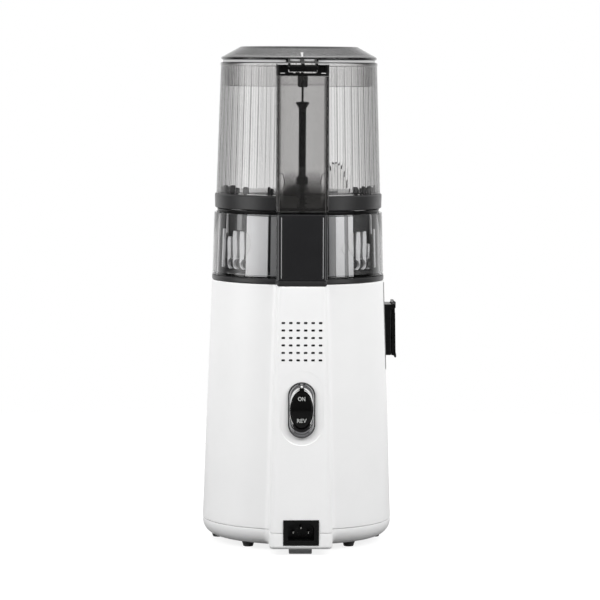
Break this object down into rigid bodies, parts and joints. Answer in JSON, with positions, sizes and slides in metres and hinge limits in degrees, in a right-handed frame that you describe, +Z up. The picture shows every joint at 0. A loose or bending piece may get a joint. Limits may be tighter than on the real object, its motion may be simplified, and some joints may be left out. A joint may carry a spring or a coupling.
{
  "type": "cold press juicer",
  "caption": "Tall upright cold press juicer: white tapered base with a rear column, clear juicing bowl, fluted hopper and a hinged smoke-grey lid.",
  "frame": {"origin": "floor point under the middle of the machine's bounding box; the drive axis stands 3.4 mm to +X and 5.1 mm to -Y of it", "axes": "+Z up along the drive axis, +Y towards the rear column with the switch and the power inlet, -Y towards the pulp spout, -X towards the juice outlet"},
  "size_m": [0.1828, 0.2082, 0.4615],
  "materials": {
    "white_plastic": "gloss white moulded shell",
    "dark_grey_plastic": "satin dark grey moulding",
    "black_plastic": "satin to gloss black moulding",
    "smoke_clear_plastic": "clear smoke-tinted plastic",
    "clear_plastic": "clear plastic with a faint smoke tint",
    "black_rubber": "matt black rubber",
    "grey_rubber": "dark grey silicone",
    "grey_plastic": "satin mid grey",
    "screen_plastic": "light grey moulded screen",
    "auger_plastic": "dense brown-grey moulding",
    "chrome_trim": "polished plated trim",
    "pin_metal": "plated contact pins",
    "steel": "machined steel",
    "cast_aluminium": "cast aluminium",
    "copper_wire": "enamelled copper wire",
    "gear_nylon": "natural nylon",
    "circuit_board": "green laminate",
    "board_parts": "moulded component cases",
    "wire_jacket": "wire insulation"
  },
  "bodies": {
    "base": {"body_shell": "white_plastic", "base_cover": "white_plastic", "top_deck": "dark_grey_plastic", "round_feet": "black_rubber", "rear_foot": "grey_plastic", "cover_screws": "steel", "switch_bezel": "chrome_trim", "switch_housing": "black_plastic", "inlet_socket": "black_plastic", "inlet_pins": "pin_metal", "motor_bracket": "steel", "stator_core": "steel", "stator_windings": "copper_wire", "motor_bolts": "steel", "rubber_mounts": "black_rubber", "motor_bearings": "steel", "gearbox_housing": "cast_aluminium", "gearbox_cover": "cast_aluminium", "gearbox_screws": "steel", "intermediate_axle": "steel", "shaft_bearings": "steel", "shaft_seal": "black_rubber", "control_board": "circuit_board", "board_components": "board_parts", "motor_capacitor": "cast_aluminium", "interlock_switch": "black_plastic", "internal_wiring": "wire_jacket"},
    "rocker": {"switch_rocker": "black_plastic"},
    "rotor": {"rotor_core": "steel", "motor_shaft": "steel", "cooling_fan": "gear_nylon"},
    "middle_gear": {"intermediate_gear": "gear_nylon"},
    "output": {"output_gear": "steel", "output_shaft": "steel"},
    "chamber": {"bowl_base_ring": "dark_grey_plastic", "juice_bowl": "clear_plastic", "bowl_spine": "black_plastic", "drive_seal": "black_rubber", "strainer": "screen_plastic", "bowl_gasket": "black_rubber", "juice_spout": "black_plastic", "pulp_spout": "black_plastic", "pulp_plug": "grey_rubber", "cap_hinge_pin": "steel"},
    "spout_cap": {"juice_cap": "black_plastic", "cap_seal": "grey_rubber"},
    "screw": {"auger": "auger_plastic", "wing_hexagon": "steel", "cutting_wing": "auger_plastic"},
    "lower_push_rod": {"lower_rod": "black_plastic"},
    "hopper": {"hopper_collar": "dark_grey_plastic", "hopper_shell": "smoke_clear_plastic", "hinge_bracket": "black_plastic", "hinge_pin": "steel"},
    "upper_push_rod": {"interlock_rod": "black_plastic", "rod_spring": "steel"},
    "hopper_lid": {"lid": "smoke_clear_plastic", "lid_skirt": "clear_plastic", "lid_seal": "grey_rubber"}
  },
  "joints": [
    {"name": "rocker_tilt", "type": "hinge", "parent": "base", "child": "rocker", "pos_m": [0.0034, 0.09365, 0.1324], "axis": [1, 0, 0], "range_deg": [-8, 8]},
    {"name": "rotor_spin", "type": "hinge", "parent": "base", "child": "rotor", "pos_m": [0.0034, -0.0051, 0.09], "axis": [0, 0, 1], "continuous": true},
    {"name": "middle_gear_spin", "type": "hinge", "parent": "base", "child": "middle_gear", "pos_m": [0.0034, -0.0371, 0.15], "axis": [0, 0, 1], "continuous": true},
    {"name": "output_spin", "type": "hinge", "parent": "base", "child": "output", "pos_m": [0.0034, -0.0051, 0.16], "axis": [0, 0, 1], "continuous": true},
    {"name": "chamber_lift", "type": "slide", "parent": "base", "child": "chamber", "axis": [0, 0, 1], "range_m": [0, 0.06]},
    {"name": "screw_spin", "type": "hinge", "parent": "chamber", "child": "screw", "pos_m": [0.0034, -0.0051, 0.28], "axis": [0, 0, 1], "continuous": true},
    {"name": "spout_cap_flip", "type": "hinge", "parent": "chamber", "child": "spout_cap", "pos_m": [-0.0892, -0.0491, 0.2195], "axis": [0, 1, 0], "range_deg": [0, 100]},
    {"name": "lower_rod_slide", "type": "slide", "parent": "chamber", "child": "lower_push_rod", "axis": [0, 0, 1], "range_m": [0, 0.005]},
    {"name": "hopper_lift", "type": "slide", "parent": "chamber", "child": "hopper", "axis": [0, 0, 1], "range_m": [0, 0.06]},
    {"name": "lid_hinge", "type": "hinge", "parent": "hopper", "child": "hopper_lid", "pos_m": [0.0034, 0.0854, 0.4418], "axis": [-1, 0, 0], "range_deg": [0, 95]},
    {"name": "upper_rod_slide", "type": "slide", "parent": "hopper", "child": "upper_push_rod", "axis": [0, 0, 1], "range_m": [0, 0.005], "deforming": ["rod_spring"]}
  ],
  "couplings": [
    {"joint": "middle_gear_spin", "follows": "rotor_spin", "ratio": -0.23077},
    {"joint": "output_spin", "follows": "rotor_spin", "ratio": 0.053254},
    {"joint": "screw_spin", "follows": "rotor_spin", "ratio": 0.053254},
    {"joint": "lower_rod_slide", "follows": "lid_hinge", "m_per_rad": 0.003},
    {"joint": "upper_rod_slide", "follows": "lid_hinge", "m_per_rad": 0.003}
  ]
}
